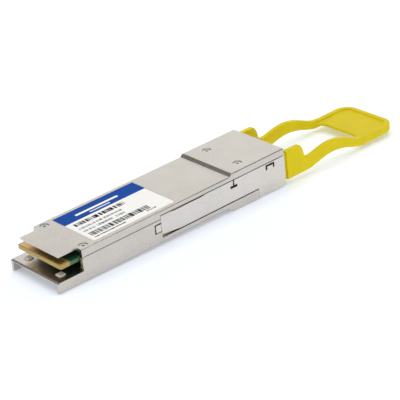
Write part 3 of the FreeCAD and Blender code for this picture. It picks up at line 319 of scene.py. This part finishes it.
def make_casting():
    """Nickel-plated zinc casting; the two small squares on the tongue are painted pale and matt, a painted
    highlight in place of the bright reflection on them.
    """
    color, roughness = (0.60, 0.55, 0.495, 1), 0.27
    paint = make_metal("housing_metal", color, roughness, 0.16)
    tint = paint.shader.inputs["Base Color"].links[0].from_socket
    gloss = paint.shader.inputs["Roughness"].links[0].from_socket
    out = paint.math("ABSOLUTE", paint.y)
    pads = paint.math("MULTIPLY", paint.between(paint.x, *REST_PAD_X), paint.between(out, *REST_PAD_Y))
    pads = paint.math("MULTIPLY", pads, paint.between(paint.z, *REST_PAD_Z))
    # The squares take the pale colour, a painted highlight, in place of the metal.
    paint.set(Base_Color=paint.blend(pads, tint, REST_PAD_PAINTED_HIGHLIGHT),
              Roughness=paint.remap(pads, (0, 1), (gloss, REST_PAD_ROUGHNESS)),
              Metallic=paint.remap(pads, (0, 1), (1, 0)))
    return paint


def make_plastic(name, color, roughness, grain=0.12, depth=0.004, specular=0.35, mottle=0.06):
    """Moulded plastic: a fine eroded skin and a slight change of shade."""
    paint = Paint(name, color, roughness, Specular_IOR_Level=specular)
    shade = paint.remap(paint.noise(3.5, detail=2), NOISE_SPAN, (0, 1))
    paint.set(Base_Color=paint.blend(shade, shaded(color, 1 - mottle), shaded(color, 1 + mottle)))
    skin = paint.noise(grain, detail=2)
    paint.set(Roughness=paint.remap(skin, NOISE_SPAN, (roughness * 0.88, roughness * 1.12)))
    paint.relief(skin, depth)
    return paint


def make_tab_plastic():
    """Yellow moulding, slightly translucent."""
    paint = make_plastic("tab_plastic", (0.76, 0.605, 0.004, 1), 0.45, specular=0.12, mottle=0.03)
    paint.set(Subsurface_Weight=0.05, Subsurface_Radius=(1.0, 0.8, 0.15), Subsurface_Scale=0.4 * MM)
    return paint


# Print on the label, in mm. A row has a start, measured from the label's front edge, a length, a
# bottom, measured from its near long edge, and a height. The rows of strokes have three more values:
# the pitch of the strokes, the level of the noise that is inked below, and the colour.
BAND_WIDTH = 4.88
BAND_SPARE = 1
MARK_ROWS = [(5.0, 13.0, 13.0, 0.8), (8.4, 6.2, 12.0, 0.35)]
PRINT_ROWS = [
    (1.3, 15.4, 8.6, 1.5, 0.50, 0.56, srgb(18, 18, 22)),
    (1.2, 12.8, 6.7, 0.8, 0.30, 0.50, srgb(84, 86, 94)),
    (1.2, 3.4, 5.0, 0.85, 0.26, 0.50, srgb(84, 86, 94)),
    (5.2, 4.8, 5.0, 0.85, 0.26, 0.54, srgb(70, 72, 80)),
    (10.8, 3.0, 5.0, 0.85, 0.26, 0.50, srgb(84, 86, 94)),
    (1.3, 17.8, 2.15, 1.95, 0.30, 0.54, srgb(10, 10, 12)),
    (1.2, 9.4, 1.05, 0.45, 0.22, 0.62, srgb(30, 30, 36)),
    (17.4, 2.8, 1.3, 0.5, 0.26, 0.55, srgb(40, 40, 46)),
]


def make_label_film():
    """White film with a blue band and rows of plain strokes and bars in place of its print."""
    low, high = (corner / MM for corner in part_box("product_label"))
    white = srgb(254, 253, 251)
    paint = Paint("label_film", white, 0.5, Specular_IOR_Level=0.06)
    color = paint.blend(paint.remap(paint.noise(5), NOISE_SPAN, (0, 1)), white, shaded(white, 0.985))
    band = paint.between(paint.y, high.y - BAND_WIDTH, high.y + BAND_SPARE)
    color = paint.blend(band, color, srgb(0, 72, 164))
    for start, length, bottom, height in MARK_ROWS:
        inside = paint.inside(low, start, length, bottom, height)
        color = paint.blend(inside, color, white)
    for start, length, bottom, height, pitch, level, ink in PRINT_ROWS:
        along = paint.math("DIVIDE", paint.x, pitch * MM)
        strokes = paint.add("ShaderNodeTexNoise", {"noise_dimensions": "1D"},
                            W=along, Scale=1.0, Detail=0.0)
        drawn = paint.math("LESS_THAN", strokes.outputs[0], level)
        inside = paint.inside(low, start, length, bottom, height)
        color = paint.blend(paint.math("MULTIPLY", inside, drawn), color, ink)
    top = paint.facing_up()
    paint.set(Base_Color=paint.blend(top, white, color))
    paint.relief(paint.noise(0.4), 0.002)
    return paint


# Where the solder mask starts along the board, and half the width of its soft edge, in mm.
MASK_START, MASK_SOFT = 4.6, 0.35


def make_laminate():
    """Glass laminate, bare and golden at the connector end and under green solder mask behind it."""
    tan, green, wall = srgb(184, 156, 84), srgb(14, 54, 38), srgb(74, 108, 72)
    paint = Paint("board_laminate", green, 0.35, Specular_IOR_Level=0.4)
    weave = paint.noise(0.35, (3, 1, 1))
    bare = paint.blend(weave, shaded(tan, 0.85), shaded(tan, 1.1))
    wave = paint.add("ShaderNodeTexWave", {"wave_type": "BANDS", "bands_direction": "Y"},
                     Vector=paint.place, Scale=400.0, Distortion=6.0, Detail=1.0)
    traces = paint.remap(wave.outputs["Fac"], (0.55, 0.7), (0, 1))
    mask = paint.blend(traces, green, srgb(30, 92, 62))
    level = paint.facing_up()
    coated = paint.blend(level, wall, mask)
    behind = paint.remap(paint.x, ((MASK_START - MASK_SOFT) * MM, (MASK_START + MASK_SOFT) * MM), (0, 1))
    paint.set(Base_Color=paint.blend(behind, bare, coated))
    paint.relief(traces, 0.012)
    return paint


def make_gold():
    """Hard gold on the contacts, with faint lines along them."""
    return make_metal("contact_gold", (0.86, 0.56, 0.22, 1), 0.28, 0.08, (6, 1, 1), wear=0)


def make_glass():
    """Clear lens glass with a trace of haze."""
    paint = Paint("lens_glass", (0.92, 0.96, 0.97, 1), 0.04, Transmission_Weight=0.9, IOR=1.5)
    paint.set(Roughness=paint.remap(paint.noise(0.3), NOISE_SPAN, (0.02, 0.08)))
    return paint


def make_polyimide():
    """Amber film with darker copper tracks that run along the module."""
    amber = srgb(196, 122, 38)
    paint = Paint("flex_polyimide", amber, 0.3, Specular_IOR_Level=0.4)
    wave = paint.add("ShaderNodeTexWave", {"wave_type": "BANDS", "bands_direction": "Y"},
                     Vector=paint.place, Scale=320.0)
    tracks = paint.remap(wave.outputs["Fac"], (0.5, 0.6), (0, 1))
    paint.set(Base_Color=paint.blend(tracks, amber, srgb(150, 78, 20)))
    paint.relief(tracks, 0.01)
    return paint


def make_gel():
    """Soft heat-conducting pad, full of grey filler."""
    return make_plastic("thermal_gel", srgb(176, 190, 204), 0.7, grain=0.25, depth=0.02, mottle=0.08)


def make_silicon():
    """Polished bluish die."""
    return make_metal("die_semiconductor", (0.30, 0.32, 0.40, 1), 0.12, 0.2, wear=0)


def dress_all():
    """Builds each material and gives it to every CAD node whose record names that slot."""
    paints = [
        make_casting(),
        make_metal("slider_metal", (0.67, 0.625, 0.575, 1), 0.26, 0.10, (40, 1, 1)),
        make_tab_plastic(),
        make_label_film(),
        make_metal("screw_steel", (0.60, 0.58, 0.55, 1), 0.25, 0.08),
        make_laminate(),
        make_gold(),
        make_plastic("chip_resin", srgb(42, 42, 45), 0.55, grain=0.08, depth=0.006),
        make_plastic("coil_ferrite", srgb(70, 70, 72), 0.6, grain=0.15, depth=0.01),
        make_plastic("capacitor_ceramic", srgb(160, 128, 92), 0.45, grain=0.1),
        make_plastic("resistor_ceramic", srgb(38, 38, 42), 0.4, grain=0.1),
        make_plastic("package_ceramic", srgb(222, 220, 210), 0.5, grain=0.15),
        make_metal("lid_alloy", (0.62, 0.57, 0.46, 1), 0.3, 0.1, (20, 1, 1)),
        make_silicon(),
        make_glass(),
        make_polyimide(),
        make_plastic("ribbon_coating", srgb(120, 190, 214), 0.35, grain=0.3, depth=0.004),
        make_plastic("ferrule_resin", srgb(44, 44, 47), 0.4, grain=0.08),
        make_metal("pin_steel", (0.62, 0.62, 0.63, 1), 0.12, 0.1, (30, 1, 1), wear=0),
        make_plastic("receptacle_resin", srgb(30, 30, 32), 0.45),
        make_metal("shield_alloy", (0.58, 0.53, 0.42, 1), 0.28, 0.1, (1, 20, 1)),
        make_gel(),
        make_metal("spring_steel", (0.55, 0.55, 0.56, 1), 0.2, 0.1, (1, 1, 1), wear=0),
    ]
    materials = {paint.slot: paint.material for paint in paints}
    for part in frame["record"]["subparts"]:
        piece = frame["nodes"][part["node"]]
        piece.material_slots[0].material = materials[part["material_slot"]]
    return materials


# ---- stand-ins: pieces with their sharp edges eased, and copies of the springs ----

WELD = 1e-6
FLAT_ANGLE = math.radians(0.5)
SHARP_ANGLE = math.radians(28)
CREASE_ANGLE = SHARP_ANGLE * 1.4
BEVEL_CUTS = 2

# Node, how far back from the corner its edges are eased, and the shortest edge that is, in mm.
EASED = [
    ("lower_shell", 0.04, 0.12), ("upper_shell", 0.04, 0.09), ("release_slider", 0.04, 0.09),
    ("pull_tab", 0.15, 0), ("front_cover_screws", 0.06, 0), ("nose_cover_screws", 0.06, 0),
    ("circuit_board", 0.04, 0), ("optical_receptacle", 0.05, 0), ("mt_ferrule", 0.04, 0),
    ("laser_driver_chip", 0.05, 0), ("receiver_amplifier_chip", 0.05, 0),
    ("microcontroller_chip", 0.05, 0), ("voltage_regulator_chip", 0.05, 0), ("power_inductors", 0.1, 0),
]


# Pieces whose flat sides have windows: those sides are cut into triangles before they are eased,
# because one face can't go round a window.
WINDOWED = ("pull_tab",)


def eased(name, amount, shortest, material):
    """A piece that stands for a CAD node, with its sharp edges rounded over."""
    work = bmesh.new()
    work.from_mesh(frame["nodes"][name].data)
    bmesh.ops.remove_doubles(work, verts=work.verts, dist=WELD)
    bmesh.ops.dissolve_limit(work, angle_limit=FLAT_ANGLE, verts=work.verts, edges=work.edges)
    if name in WINDOWED:
        bmesh.ops.triangulate(work, faces=work.faces)
    sharp = [edge for edge in work.edges
             if edge.calc_face_angle(0) > SHARP_ANGLE and edge.calc_length() > shortest * MM]
    bmesh.ops.bevel(work, geom=sharp, offset=amount * MM, segments=BEVEL_CUTS, profile=0.5, affect="EDGES",
                    clamp_overlap=False)
    mesh = bpy.data.meshes.new(name + "_eased")
    work.to_mesh(mesh)
    work.free()
    mesh.shade_smooth()
    mesh.set_sharp_from_angle(angle=CREASE_ANGLE)
    piece = stand_in(name, name + "_eased", mesh, material)
    piece.modifiers.new("flats", "WEIGHTED_NORMAL").keep_sharp = True


def stand_in(name, label, mesh, material):
    """An object on the CAD node's body that is shown in the node's place."""
    mesh.materials.clear()
    mesh.materials.append(material)
    piece = bpy.data.objects.new(label, mesh)
    bpy.context.scene.collection.objects.link(piece)
    bodies = frame["record"]["behaviour"]["bodies"]
    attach(piece, next(body for body, nodes in bodies.items() if name in nodes))
    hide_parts(name)
    return piece


def refine_pieces(materials):
    """Eased copies of the pieces whose edges show, and plain copies of the springs."""
    slots = {part["node"]: part["material_slot"] for part in frame["record"]["subparts"]}
    for name, amount, shortest in EASED:
        eased(name, amount, shortest, materials[slots[name]])
    for joint in frame["record"]["behaviour"]["joints"]:
        for spring in joint["deforming_nodes"]:
            name, fixed = spring["node"], spring["fixed_end_x_m"]
            piece = stand_in(name, name + "_coil", frame["nodes"][name].data.copy(),
                             materials[slots[name]])
            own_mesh(piece)


make_camera()
make_floor()
make_studio()
refine_pieces(dress_all())
